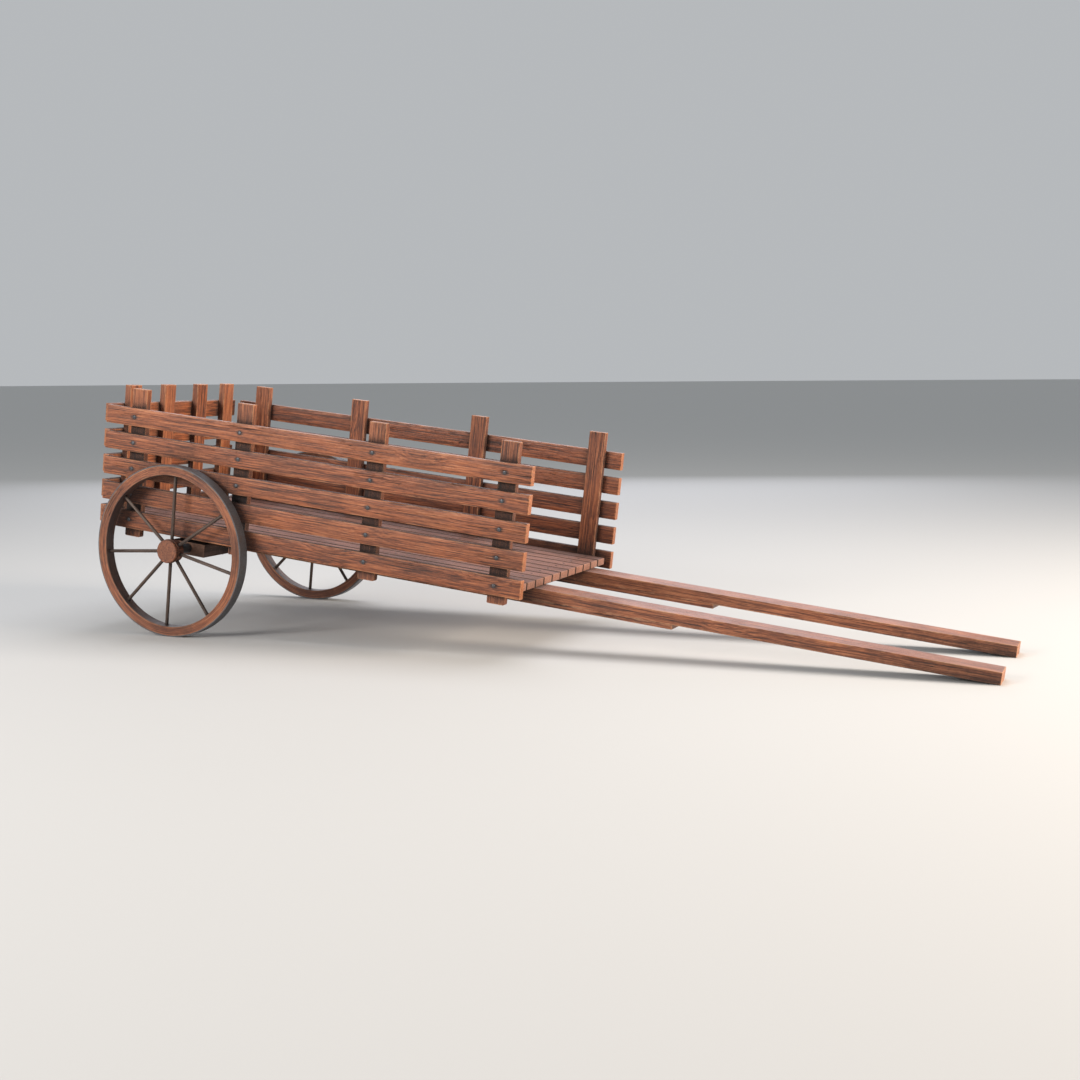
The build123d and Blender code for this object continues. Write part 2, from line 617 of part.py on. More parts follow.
with BuildPart() as right_cap:
    with BuildSketch(at(axle_x, -cap_back, -AXLE_DROP, Plane.XZ)):
        Circle(hub_r)
    extrude(amount=CAP_T)
    fillet(right_cap.edges().sort_by(Axis.Y)[0], 2 * EASE)
    fillet(right_cap.edges().sort_by(Axis.Y)[-1], EASE)
save(right_cap, "right_wheel_cap")
save(other_side(right_cap), "left_wheel_cap")

print(f"nose down {degrees(nose_down):.3f} deg, length {front_at - rear_at:.1f}, "
      f"width {2 * cap_face:.1f}, nodes {len(os.listdir('parts'))}")
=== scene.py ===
"""Looks of a two-wheeled slatted hand cart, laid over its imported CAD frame."""

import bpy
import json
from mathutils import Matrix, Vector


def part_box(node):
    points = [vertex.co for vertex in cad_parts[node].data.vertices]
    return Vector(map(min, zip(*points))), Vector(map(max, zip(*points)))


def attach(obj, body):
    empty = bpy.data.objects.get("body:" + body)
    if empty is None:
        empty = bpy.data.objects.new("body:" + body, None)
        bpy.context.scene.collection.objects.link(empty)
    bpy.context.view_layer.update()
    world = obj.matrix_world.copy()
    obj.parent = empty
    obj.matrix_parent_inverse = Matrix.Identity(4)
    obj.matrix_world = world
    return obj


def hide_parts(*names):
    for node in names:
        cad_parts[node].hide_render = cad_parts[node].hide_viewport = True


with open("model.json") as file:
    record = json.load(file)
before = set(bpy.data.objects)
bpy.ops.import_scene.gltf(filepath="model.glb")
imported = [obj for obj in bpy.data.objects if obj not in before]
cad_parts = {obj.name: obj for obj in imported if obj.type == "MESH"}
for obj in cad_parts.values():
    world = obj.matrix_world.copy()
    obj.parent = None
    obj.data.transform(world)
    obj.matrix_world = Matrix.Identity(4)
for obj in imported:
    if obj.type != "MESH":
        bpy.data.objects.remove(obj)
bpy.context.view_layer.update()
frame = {"nodes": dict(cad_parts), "record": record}

import json
import math

import bmesh
import bpy
import numpy as np
from mathutils import Euler, Matrix, Vector

nodes = frame["nodes"]
scene = bpy.context.scene

# ------------------------------------------------------------------ camera, floor and light
camera_data = bpy.data.cameras.new("camera")
camera_data.lens = 48.94
camera_data.sensor_width = 36.0
camera_data.clip_end = 1000.0     # beyond the far edge of the studio floor
camera = bpy.data.objects.new("camera", camera_data)
camera.location = (2.866, -6.625, 1.285)
camera.rotation_euler = Euler([math.radians(turn) for turn in (83.63, 0.37, 23.30)], "XYZ")
scene.collection.objects.link(camera)
scene.camera = camera


def new_object(name, mesh):
    piece = bpy.data.objects.new(name, mesh)
    scene.collection.objects.link(piece)
    return piece


FLOOR_RADIUS, FLOOR_SIDES = 300, 96
floor_mesh = bpy.data.meshes.new("studio_floor")
around = [math.tau * i / FLOOR_SIDES for i in range(FLOOR_SIDES)]
floor_mesh.from_pydata([(FLOOR_RADIUS * math.cos(a), FLOOR_RADIUS * math.sin(a), 0)
                        for a in around], [], [tuple(range(FLOOR_SIDES))])
floor = new_object("studio_floor", floor_mesh)
floor_finish = bpy.data.materials.new("studio_floor")
floor_finish.use_nodes = True
floor_shader = floor_finish.node_tree.nodes["Principled BSDF"]
floor_shader.inputs["Base Color"].default_value = (0.50, 0.505, 0.50, 1)
floor_shader.inputs["Roughness"].default_value = 0.85
floor.data.materials.append(floor_finish)

world = bpy.data.worlds.new("studio")
scene.world = world
world.use_nodes = True
world.node_tree.nodes["Background"].inputs["Color"].default_value = (0.84, 0.87, 0.90, 1)
world.node_tree.nodes["Background"].inputs["Strength"].default_value = 0.56
scene.view_settings.view_transform = "Standard"


def softbox(name, place, aim, size, watts, colour):
    """A soft rectangular lamp that the camera itself doesn't see."""
    light = bpy.data.lights.new(name, "AREA")
    light.shape = "RECTANGLE"
    light.size, light.size_y = size
    light.energy = watts
    light.color = colour
    lamp = bpy.data.objects.new(name, light)
    lamp.location = place
    lamp.rotation_euler = (Vector(aim) - Vector(place)).to_track_quat("-Z", "Y").to_euler()
    lamp.visible_camera = False
    scene.collection.objects.link(lamp)


softbox("warm_front", (9.0, 1.0, 3.6), (0, 0, 0.6), (4.2, 3.4), 1350, (1.0, 0.84, 0.68))
softbox("near_side", (-4.8, -8.8, 4.4), (-0.8, -0.3, 0.5), (4.2, 3.2), 740, (1.0, 0.94, 0.88))
softbox("overhead", (-0.3, 2.2, 8.0), (-0.2, 0, 0.5), (6.0, 4.0), 360, (0.95, 0.95, 1.0))
softbox("far_glow", (-4.6, 9.6, 3.6), (-0.6, 0, 0.5), (11.0, 4.4), 250, (0.90, 0.90, 1.0))

# ------------------------------------------------------------------ the cart's own directions
floor_normal = next(m["axis"] for m in frame["record"]["mounts"] if m["name"] == "bed_floor")
nose_down = math.atan2(floor_normal[0], floor_normal[2])
TO_CART = Matrix.Rotation(-nose_down, 3, "Y")
FROM_CART = Matrix.Rotation(nose_down, 3, "Y")


def extent(name):
    """Lowest and highest corner of a node along the cart's own length, width and height."""
    co = np.array([v.co for v in nodes[name].data.vertices]) @ np.array(TO_CART).T
    return Vector(co.min(0)), Vector(co.max(0))


# ------------------------------------------------------------------ node building
def put(tree, socket, value):
    """Link a socket, or set a plain value, on an input."""
    if isinstance(value, bpy.types.NodeSocket):
        tree.links.new(value, socket)
    elif value is not None:
        socket.default_value = value


def add_node(tree, kind, values=(), **settings):
    made = tree.nodes.new(kind)
    for key, value in settings.items():
        setattr(made, key, value)
    for key, value in (values.items() if isinstance(values, dict) else enumerate(values)):
        put(tree, made.inputs[key], value)
    return made


def maths(tree, operation, a, b=None, c=None, clamp=False):
    return add_node(tree, "ShaderNodeMath", [a, b, c], operation=operation,
                    use_clamp=clamp).outputs[0]


def vector_maths(tree, operation, a, b=None):
    made = add_node(tree, "ShaderNodeVectorMath", [a, b], operation=operation)
    return made.outputs["Value"] if operation in ("LENGTH", "DOT_PRODUCT") else made.outputs[0]


def between(tree, value, low, high, to_low=0.0, to_high=1.0, smooth=True):
    """A value's way from low to high, held at both ends."""
    made = add_node(tree, "ShaderNodeMapRange",
                    {"Value": value, "From Min": low, "From Max": high,
                     "To Min": to_low, "To Max": to_high},
                    interpolation_type="SMOOTHSTEP" if smooth else "LINEAR", clamp=True)
    return made.outputs["Result"]


def blend_colour(tree, share, a, b):
    """Colour a with this share of colour b laid over it."""
    made = tree.nodes.new("ShaderNodeMix")
    made.data_type = "RGBA"
    put(tree, made.inputs["Factor"], share)
    for socket, value in ((made.inputs[6], a), (made.inputs[7], b)):
        put(tree, socket, value)
    return made.outputs[2]


def noise(tree, place, scale, detail=2.0, rough=0.5):
    return add_node(tree, "ShaderNodeTexNoise",
                    {"Vector": place, "Scale": scale, "Detail": detail,
                     "Roughness": rough}).outputs["Fac"]


def group(name, takes, gives):
    """An empty shader group with its named inputs and outputs."""
    tree = bpy.data.node_groups.new(name, "ShaderNodeTree")
    for label, kind, value in takes:
        socket = tree.interface.new_socket(label, in_out="INPUT", socket_type=kind)
        if value is not None:
            socket.default_value = value
    for label, kind in gives:
        tree.interface.new_socket(label, in_out="OUTPUT", socket_type=kind)
    return tree, tree.nodes.new("NodeGroupInput").outputs, tree.nodes.new("NodeGroupOutput").inputs


NUMBER, VECTOR, COLOUR = "NodeSocketFloat", "NodeSocketVector", "NodeSocketColor"


def timber_grain():
    """Growth rings, knots, fibres, pores and checks of one piece of timber, grain along X."""
    tree, take, give = group(
        "Timber grain",
        [("Place", VECTOR, None), ("Seed", NUMBER, 0.0), ("Ring", NUMBER, 0.006),
         ("Heart", VECTOR, (0.0, 0.05, 0.09)), ("Knots", NUMBER, 0.25)],
        [("Tone", NUMBER), ("Fibres", NUMBER), ("Checks", NUMBER), ("Knot", NUMBER),
         ("Height", NUMBER)])

    def stretched(vector, x, yz):
        return vector_maths(tree, "MULTIPLY", vector, (x, yz, yz))

    shift = add_node(tree, "ShaderNodeCombineXYZ",
                     [maths(tree, "MULTIPLY", take["Seed"], 3.17),
                      maths(tree, "MULTIPLY", take["Seed"], 1.73),
                      maths(tree, "MULTIPLY", take["Seed"], 2.39)]).outputs[0]
    place = vector_maths(tree, "ADD", take["Place"], shift)
    cells = add_node(tree, "ShaderNodeTexVoronoi", {"Vector": stretched(place, 2.4, 8.5),
                                                    "Scale": 1.0}).outputs
    lot = add_node(tree, "ShaderNodeSeparateColor", [cells["Color"]]).outputs[0]
    chosen = maths(tree, "LESS_THAN", lot, take["Knots"])
    pull = maths(tree, "MULTIPLY", chosen, between(tree, cells["Distance"], 0.50, 0.04))
    knot = maths(tree, "MULTIPLY", chosen, between(tree, cells["Distance"], 0.125, 0.075))
    bent = vector_maths(tree, "ADD", place, add_node(
        tree, "ShaderNodeCombineXYZ",
        [0.0, maths(tree, "MULTIPLY", pull, 0.016), maths(tree, "MULTIPLY", pull, 0.016)]
    ).outputs[0])
    wander = stretched(place, 1.1, 4.0)
    bend_y = maths(tree, "MULTIPLY_ADD", noise(tree, wander, 1.0, 2.0), 0.05, -0.025)
    other = vector_maths(tree, "ADD", wander, (7.3, 2.1, 5.9))
    bend_z = maths(tree, "MULTIPLY_ADD", noise(tree, other, 1.0, 2.0), 0.05, -0.025)
    ripple = maths(tree, "MULTIPLY_ADD", noise(tree, stretched(place, 6.0, 60.0), 1.0, 3.0),
                   0.005, -0.0025)
    parts = add_node(tree, "ShaderNodeSeparateXYZ",
                     [vector_maths(tree, "SUBTRACT", take["Place"], take["Heart"])]).outputs
    y, z = maths(tree, "ADD", parts[1], bend_y), maths(tree, "ADD", parts[2], bend_z)
    radius = maths(tree, "SQRT", maths(tree, "ADD", maths(tree, "MULTIPLY", y, y),
                                       maths(tree, "MULTIPLY", z, z)))
    radius = maths(tree, "ADD", radius, maths(tree, "MULTIPLY_ADD", pull, 0.022, ripple))
    season = maths(tree, "FRACT", maths(tree, "DIVIDE", radius, take["Ring"]))
    rings = maths(tree, "MULTIPLY", between(tree, season, 0.2, 0.92),
                  between(tree, season, 1.0, 0.94))
    streaks = noise(tree, stretched(bent, 4.2, 165.0), 1.0, 5.0, 0.70)
    broad = noise(tree, stretched(bent, 2.8, 62.0), 1.0, 3.0, 0.6)
    fine = noise(tree, stretched(bent, 13.0, 560.0), 1.0, 4.0, 0.66)
    clouds = noise(tree, stretched(place, 1.9, 7.0), 1.0, 4.0, 0.6)
    fibres = maths(tree, "MULTIPLY_ADD", fine, 0.5, maths(tree, "MULTIPLY", streaks, 0.5))
    pores = between(tree, noise(tree, stretched(bent, 34.0, 900.0), 1.0, 2.0), 0.57, 0.68)
    tone = maths(tree, "MULTIPLY", between(tree, streaks, 0.34, 0.67, 0, 1, False), 0.52)
    for value, low, high, share in ((broad, 0.30, 0.70, 0.08), (fine, 0.36, 0.64, 0.28),
                                    (clouds, 0.28, 0.72, 0.13)):
        tone = maths(tree, "MULTIPLY_ADD", between(tree, value, low, high, 0, 1, False),
                     share, tone)
    tone = maths(tree, "MULTIPLY_ADD", rings, -0.10, tone)
    tone = maths(tree, "MULTIPLY_ADD", pores, -0.10, tone)
    split = noise(tree, stretched(bent, 1.6, 70.0), 1.0, 2.0, 0.5)
    where = noise(tree, vector_maths(tree, "ADD", wander, (1.0, 8.0, 3.0)), 2.2, 2.0)
    checks = maths(tree, "MULTIPLY", between(
        tree, maths(tree, "ABSOLUTE", maths(tree, "SUBTRACT", split, 0.5)), 0.011, 0.0),
        between(tree, where, 0.53, 0.60))
    height = maths(tree, "MULTIPLY", fibres, 0.8)
    for value, share in ((rings, -0.16), (pores, -0.28), (checks, -1.6), (knot, 0.25)):
        height = maths(tree, "MULTIPLY_ADD", value, share, height)
    for label, value in (("Tone", tone), ("Fibres", fibres), ("Checks", checks),
                         ("Knot", knot), ("Height", height)):
        put(tree, give[label], value)
    return tree


def edge_wear():
    """How near a point of a board is to its corners and edges, broken up as wear is."""
    tree, take, give = group(
        "Edge wear",
        [("Place", VECTOR, None), ("Middle", VECTOR, (0, 0, 0)), ("Half", VECTOR, (1, 1, 1)),
         ("Width", NUMBER, 0.006)],
        [("Wear", NUMBER), ("End", NUMBER), ("Side", NUMBER)])
    off = vector_maths(tree, "ABSOLUTE", vector_maths(tree, "SUBTRACT", take["Place"],
                                                      take["Middle"]))
    gaps = add_node(tree, "ShaderNodeSeparateXYZ",
                    [vector_maths(tree, "SUBTRACT", take["Half"], off)]).outputs
    a, b, c = gaps
    low = maths(tree, "MINIMUM", maths(tree, "MINIMUM", a, b), c)
    high = maths(tree, "MAXIMUM", maths(tree, "MAXIMUM", a, b), c)
    total = maths(tree, "ADD", maths(tree, "ADD", a, b), c)
    middle = maths(tree, "SUBTRACT", maths(tree, "SUBTRACT", total, low), high)
    ragged = noise(tree, vector_maths(tree, "MULTIPLY", take["Place"], (14.0, 60.0, 60.0)),
                   1.0, 4.0, 0.65)
    reach = maths(tree, "MULTIPLY", take["Width"], between(tree, ragged, 0.35, 0.75, 0.1, 2.2))
    wear = maths(tree, "SUBTRACT", 1.0, maths(tree, "DIVIDE", middle, reach), clamp=True)
    put(tree, give["Wear"], wear)
    put(tree, give["End"], between(tree, a, 0.0035, 0.001))
    put(tree, give["Side"], between(tree, maths(tree, "MULTIPLY_ADD", ragged, 0.004, b),
                                    0.0105, 0.0065))
    return tree


def dirt_in_corners():
    """Grime that gathers in patches."""
    tree, take, give = group(
        "Grime", [("Place", VECTOR, None), ("Amount", NUMBER, 0.5)], [("Grime", NUMBER)])
    patches = noise(tree, take["Place"], 3.5, 5.0, 0.6)
    grains = noise(tree, take["Place"], 60.0, 3.0, 0.6)
    both = maths(tree, "MULTIPLY_ADD", grains, 0.35, patches)
    put(tree, give["Grime"], maths(tree, "MULTIPLY", between(tree, both, 0.55, 0.9),
                                   take["Amount"]))
    return tree


def settled_dust():
    """Grey weathering and dust on whatever faces up."""
    tree, take, give = group("Dust", [("Place", VECTOR, None), ("Amount", NUMBER, 0.5)],
                             [("Dust", NUMBER)])
    up = add_node(tree, "ShaderNodeSeparateXYZ",
                  [add_node(tree, "ShaderNodeTexCoord").outputs["Normal"]]).outputs[2]
    patches = noise(tree, take["Place"], 5.0, 5.0, 0.62)
    put(tree, give["Dust"], maths(tree, "MULTIPLY", maths(
        tree, "MULTIPLY", between(tree, up, 0.55, 0.98), between(tree, patches, 0.3, 0.7, 0.45)),
        take["Amount"]))
    return tree


def sheltered_dirt():
    """Painted shade: ambient occlusion darkens the colour where pieces close each other in, as at
    seams and corners.
    """
    tree, take, give = group(
        "Painted crevice shade", [("Place", VECTOR, None), ("Reach", NUMBER, 0.14), ("Amount", NUMBER, 0.8)],
        [("Painted crevice shade", NUMBER)])
    openness = add_node(tree, "ShaderNodeAmbientOcclusion", {"Distance": take["Reach"]},
                        samples=5).outputs["AO"]
    ragged = maths(tree, "MULTIPLY_ADD", noise(tree, take["Place"], 38.0, 4.0, 0.65), 0.30, -0.15)
    closed = between(tree, maths(tree, "ADD", openness, ragged), 0.92, 0.54)
    put(tree, give["Painted crevice shade"], maths(tree, "MULTIPLY", closed, take["Amount"]))
    return tree


FIXINGS = 5                       # screws or nails that can stain one board
FAR_OFF = (1000.0, 0.0, 0.0)      # where a fixing that a board doesn't have is put


def iron_stain():
    """Blue-black stain that damp iron leaves in the timber round each screw or nail."""
    tree, take, give = group(
        "Iron stain", [("Place", VECTOR, None), ("Radius", NUMBER, 0.016)]
        + [(f"Fixing {i}", VECTOR, FAR_OFF) for i in range(1, FIXINGS + 1)],
        [("Stain", NUMBER)])
    nearest = None
    for i in range(1, FIXINGS + 1):
        off = vector_maths(tree, "SUBTRACT", take["Place"], take[f"Fixing {i}"])
        gap = vector_maths(tree, "LENGTH", vector_maths(tree, "MULTIPLY", off, (0.55, 1.0, 1.0)))
        nearest = gap if nearest is None else maths(tree, "MINIMUM", nearest, gap)
    ragged = noise(tree, vector_maths(tree, "MULTIPLY", take["Place"], (60.0, 240.0, 240.0)),
                   1.0, 3.0, 0.6)
    edge = maths(tree, "MULTIPLY", take["Radius"], maths(tree, "MULTIPLY_ADD", ragged, 1.2, 0.4))
    near = maths(tree, "DIVIDE", nearest, edge)
    put(tree, give["Stain"], between(tree, near, 1.0, 0.45))
    return tree


STAIN = iron_stain()
GRAIN, WEAR, GRIME, DUST, CREVICE_SHADE = (timber_grain(), edge_wear(), dirt_in_corners(),
                                     settled_dust(), sheltered_dirt())


def use(tree, made_group, values):
    """Outputs of a shader group set into a material."""
    made = tree.nodes.new("ShaderNodeGroup")
    made.node_tree = made_group
    for key, value in values.items():
        put(tree, made.inputs[key], value)
    return made.outputs


def cart_place(tree):
    """Object coordinates turned to the cart's own length, width and height."""
    where = tree.nodes.new("ShaderNodeTexCoord").outputs["Object"]
    return add_node(tree, "ShaderNodeMapping",
                    {"Vector": where, "Rotation": (0.0, -nose_down, 0.0)}).outputs[0]


def swap(tree, place, order):
    """A place with its parts in another order, as "YXZ"."""
    parts = add_node(tree, "ShaderNodeSeparateXYZ", [place]).outputs
    return add_node(tree, "ShaderNodeCombineXYZ",
                    [parts["XYZ".index(letter)] for letter in order]).outputs[0]


# from the darkest fibre to the palest, then the bare worn colour: linear colours
STAINS = {
    "slat": ((0.028, 0.009, 0.006), (0.118, 0.032, 0.013), (0.255, 0.070, 0.025),
             (0.405, 0.126, 0.045), (0.530, 0.210, 0.090), (0.570, 0.265, 0.125)),
    "post": ((0.030, 0.010, 0.006), (0.123, 0.035, 0.015), (0.258, 0.075, 0.029),
             (0.415, 0.138, 0.053), (0.535, 0.222, 0.100), (0.600, 0.300, 0.145)),
    "floor": ((0.026, 0.011, 0.009), (0.100, 0.037, 0.026), (0.205, 0.080, 0.052),
              (0.325, 0.142, 0.092), (0.420, 0.215, 0.150), (0.450, 0.240, 0.160)),
    "shaft": ((0.034, 0.012, 0.008), (0.136, 0.040, 0.018), (0.290, 0.090, 0.036),
              (0.450, 0.160, 0.066), (0.550, 0.245, 0.120), (0.620, 0.330, 0.175)),
    # parts under the bed: about half as bright as the slat stain, painted shade
    "under_painted_shade": ((0.014, 0.006, 0.005), (0.050, 0.018, 0.011), (0.105, 0.038, 0.020),
              (0.175, 0.072, 0.040), (0.240, 0.120, 0.075), (0.300, 0.155, 0.090)),
    "rim": ((0.026, 0.010, 0.007), (0.100, 0.030, 0.015), (0.215, 0.064, 0.027),
            (0.345, 0.118, 0.048), (0.445, 0.190, 0.088), (0.480, 0.230, 0.110)),
    "spoke": ((0.014, 0.009, 0.007), (0.042, 0.025, 0.018), (0.080, 0.048, 0.034),
              (0.130, 0.083, 0.060), (0.190, 0.130, 0.098), (0.230, 0.165, 0.120)),
    "hub": ((0.032, 0.011, 0.007), (0.120, 0.035, 0.016), (0.250, 0.074, 0.031),
            (0.390, 0.135, 0.057), (0.490, 0.215, 0.100), (0.560, 0.270, 0.135)),
}


def darker_rim_inside():
    """Dark grey laid over the faces of a rim that look in at the hub, broken up by noise."""
    tree, take, give = group("Rim inside", [("Place", VECTOR, None), ("Centre", VECTOR, None)],
                             [("Inside", NUMBER)])
    where = tree.nodes.new("ShaderNodeTexCoord").outputs["Object"]
    off = vector_maths(tree, "MULTIPLY", vector_maths(tree, "SUBTRACT", where, take["Centre"]),
                       (1.0, 0.0, 1.0))
    facing = vector_maths(tree, "DOT_PRODUCT", vector_maths(tree, "NORMALIZE", off),
                          add_node(tree, "ShaderNodeTexCoord").outputs["Normal"])
    ragged = noise(tree, vector_maths(tree, "MULTIPLY", take["Place"], (12.0, 90.0, 90.0)),
                   1.0, 4.0, 0.6)
    put(tree, give["Inside"], maths(tree, "MULTIPLY", between(tree, facing, -0.35, -0.85),
                                    between(tree, ragged, 0.25, 0.6, 0.65)))
    return tree


INSIDE = darker_rim_inside()


# colour that each layer lays over the stained timber, and how much of it at its fullest
DUST_LAYER = (0.270, 0.205, 0.200, 1), 0.8
GRIME_LAYER = (0.034, 0.021, 0.017, 1), 0.75
IRON_LAYER = (0.018, 0.013, 0.014, 1), 0.72
INSIDE_LAYER = (0.052, 0.044, 0.043, 1), 0.85
# near black along the edges where floor planks meet: dark dirt and painted shade in the gaps
JOINT_DIRT_AND_SHADE_COLOUR = (0.008, 0.005, 0.005, 1)
# near black laid where ambient occlusion finds pieces close together: painted shade
CREVICE_SHADE_COLOUR = (0.016, 0.010, 0.009, 1)
CHECK_COLOUR = (0.014, 0.008, 0.006, 1)
KNOT_SHARE, END_SHARE, WEAR_SHARE = 0.8, 0.40, 0.6
TONE_STOPS = (0.14, 0.30, 0.46, 0.62, 0.86)


def timber(name, stain, tree_place, seed, middle, half, heart, ring=0.006, wear=0.006,
           grime=0.4, dust=0.5, tone=0.0, knots=0.22, shelter=0.9, joints=0.0,
           fixings=(), dull=0.0, wheel=None):
    """One board's own finish: stain over its grain, worn edges, end grain, dust and grime, with
    painted shade at its seams and crevices.
    """
    finish = bpy.data.materials.new(name)
    finish.use_nodes = True
    tree = finish.node_tree
    shader = tree.nodes["Principled BSDF"]
    place = tree_place(tree)
    shades = [(*c, 1.0) for c in STAINS[stain]]
    grain = use(tree, GRAIN, {"Place": place, "Seed": seed, "Ring": ring, "Heart": heart,
                              "Knots": knots})
    edges = use(tree, WEAR, {"Place": place, "Middle": middle, "Half": half, "Width": wear})
    grimy = use(tree, GRIME, {"Place": place, "Amount": grime})["Grime"]
    dusty = use(tree, DUST, {"Place": place, "Amount": dust})["Dust"]
    ramp = add_node(tree, "ShaderNodeValToRGB",
                    {"Fac": maths(tree, "ADD", grain["Tone"], tone)})
    stops = ramp.color_ramp.elements
    for i, (stop, shade) in enumerate(zip(TONE_STOPS, shades)):
        element = stops[i] if i < 2 else stops.new(stop)
        element.position, element.color = stop, shade

    def covered(colour, where, layer, share):
        return blend_colour(tree, maths(tree, "MULTIPLY", where, share), colour, layer)

    base = covered(ramp.outputs["Color"], edges["End"], shades[4], END_SHARE)
    base = covered(base, grain["Knot"], shades[0], KNOT_SHARE)
    base = covered(base, edges["Wear"], shades[5], WEAR_SHARE)
    base = covered(base, dusty, *DUST_LAYER)
    base = covered(base, grimy, *GRIME_LAYER)
    # dark dirt and painted shade along the plank sides where they meet
    base = covered(base, edges["Side"], JOINT_DIRT_AND_SHADE_COLOUR, joints)
    if fixings:
        stained = use(tree, STAIN, {"Place": place, **{f"Fixing {i}": spot for i, spot
                                                       in enumerate(fixings, 1)}})["Stain"]
        base = covered(base, stained, *IRON_LAYER)
    if wheel:
        inside = use(tree, INSIDE, {"Place": place, "Centre": wheel})["Inside"]
        base = covered(base, inside, *INSIDE_LAYER)
    # painted shade: ambient occlusion darkens the colour at seams and corners, but not on the end
    # grain
    crevice_shade_mask = use(tree, CREVICE_SHADE, {"Place": place, "Amount": shelter})["Painted crevice shade"]
    crevice_shade_mask = maths(tree, "MULTIPLY", crevice_shade_mask, maths(tree, "SUBTRACT", 1.0, edges["End"]))
    base = blend_colour(tree, crevice_shade_mask, base, CREVICE_SHADE_COLOUR)
    base = blend_colour(tree, grain["Checks"], base, CHECK_COLOUR)
    put(tree, shader.inputs["Base Color"], base)
    gloss = maths(tree, "MULTIPLY_ADD", grain["Fibres"], -0.30, 0.60)
    gloss = maths(tree, "MULTIPLY_ADD", grimy, 0.2, gloss)
    gloss = maths(tree, "MULTIPLY_ADD", crevice_shade_mask, 0.35, gloss)
    gloss = maths(tree, "ADD", gloss, maths(tree, "MULTIPLY_ADD", edges["Side"], joints, dull),
                  clamp=True)
    put(tree, shader.inputs["Roughness"], gloss)
    height = maths(tree, "MULTIPLY_ADD", edges["Side"], -2.0 * joints, grain["Height"])
    bump = add_node(tree, "ShaderNodeBump", {"Strength": 0.7, "Distance": 0.0018,
                                             "Height": height})
    put(tree, shader.inputs["Normal"], bump.outputs[0])
    return finish


RUST_COLOUR, RUST_SHARE = (0.110, 0.048, 0.024, 1), 0.5


def iron(name, colour, rough, metal):
    """Dark forged iron or dulled steel, rusted in patches."""
    finish = bpy.data.materials.new(name)
    finish.use_nodes = True
    tree = finish.node_tree
    shader = tree.nodes["Principled BSDF"]
    place = cart_place(tree)
    fine = noise(tree, place, 220.0, 4.0, 0.6)
    patches = noise(tree, place, 24.0, 5.0, 0.65)
    rust = maths(tree, "MULTIPLY", between(tree, patches, 0.52, 0.70), RUST_SHARE)
    base = blend_colour(tree, between(tree, fine, 0.3, 0.7),
                        (*[c * 0.7 for c in colour], 1), (*[c * 1.3 for c in colour], 1))
    base = blend_colour(tree, rust, base, RUST_COLOUR)
    put(tree, shader.inputs["Base Color"], base)
    put(tree, shader.inputs["Roughness"], maths(tree, "ADD", maths(
        tree, "MULTIPLY_ADD", fine, 0.2, rough - 0.1), maths(tree, "MULTIPLY", rust, 0.3)))
    put(tree, shader.inputs["Metallic"], maths(tree, "MULTIPLY_ADD", rust, -metal, metal))
    bump = add_node(tree, "ShaderNodeBump", {"Strength": 0.4, "Distance": 0.0006,
                                             "Height": maths(tree, "ADD", fine, patches)})
    put(tree, shader.inputs["Normal"], bump.outputs[0])
    return finish


def dress(name, finish):
    """Give a node of the frame one finish all over."""
    nodes[name].data.materials.clear()
    nodes[name].data.materials.append(finish)


# ------------------------------------------------------------------ boards
ALONG = {"X": "XYZ", "Y": "YXZ", "Z": "ZXY"}      # order of the parts that puts the grain first
rng = np.random.default_rng(41)


def along(order):
    """Place along and across the grain of a board that lies in this order."""
    return lambda tree: swap(tree, cart_place(tree), order)


def in_order(corner, order):
    return Vector([corner["XYZ".index(letter)] for letter in order])


def board(name, stain, grain_axis, **more):
    """Finish of one straight board, its grain running along one of the cart's directions."""
    order = ALONG[grain_axis]
    low, high = (in_order(corner, order) for corner in extent(name))
    middle, half = (low + high) / 2, (high - low) / 2
    off = Vector((0, rng.uniform(-0.03, 0.03), rng.uniform(-0.03, 0.03)))
    side = 1 if rng.random() < 0.5 else -1
    thin = 1 if half[1] < half[2] else 2
    heart = middle + off
    heart[thin] += side * rng.uniform(0.05, 0.12)
    finish = timber(f"{name}_timber", stain, along(order), float(rng.uniform(0, 50)),
                    middle, half, heart, ring=float(rng.uniform(0.005, 0.009)),
                    tone=float(rng.uniform(-0.06, 0.06)), **more)
    dress(name, finish)
    return finish


def wandering(run, low, high, step):
    """A value at each place along a board that drifts between low and high, one turn per step."""
    knots = np.arange(run[0] - step, run[-1] + 2 * step, step)
    return np.interp(run, knots, rng.uniform(low, high, len(knots)))


def skin(made, loops):
    """Faces between each loop of corners and the next."""
    for here, there in zip(loops, loops[1:]):
        for i in range(len(here)):
            j = (i + 1) % len(here)
            made.faces.new((here[i], here[j], there[j], there[i]))


def as_mesh(made, name):
    mesh = bpy.data.meshes.new(name)
    made.to_mesh(mesh)
    made.free()
    return mesh


STATION = 0.028                   # from one cross section of a worn board to the next
END_STEPS = (0.0, 0.0006, 0.002, 0.012)           # in from a board's end, where it rounds over
END_ROUND = (0.0020, 0.0008)      # how far its section draws in at the first two of them
EASED, RUBBED = 0.0016, 0.0014    # every corner's radius, and what rubbing adds to it
HOLLOW = 0.0005                   # deepest hollow in a board's broad face
ARC_STEPS = 3                     # edges that each corner is rounded with


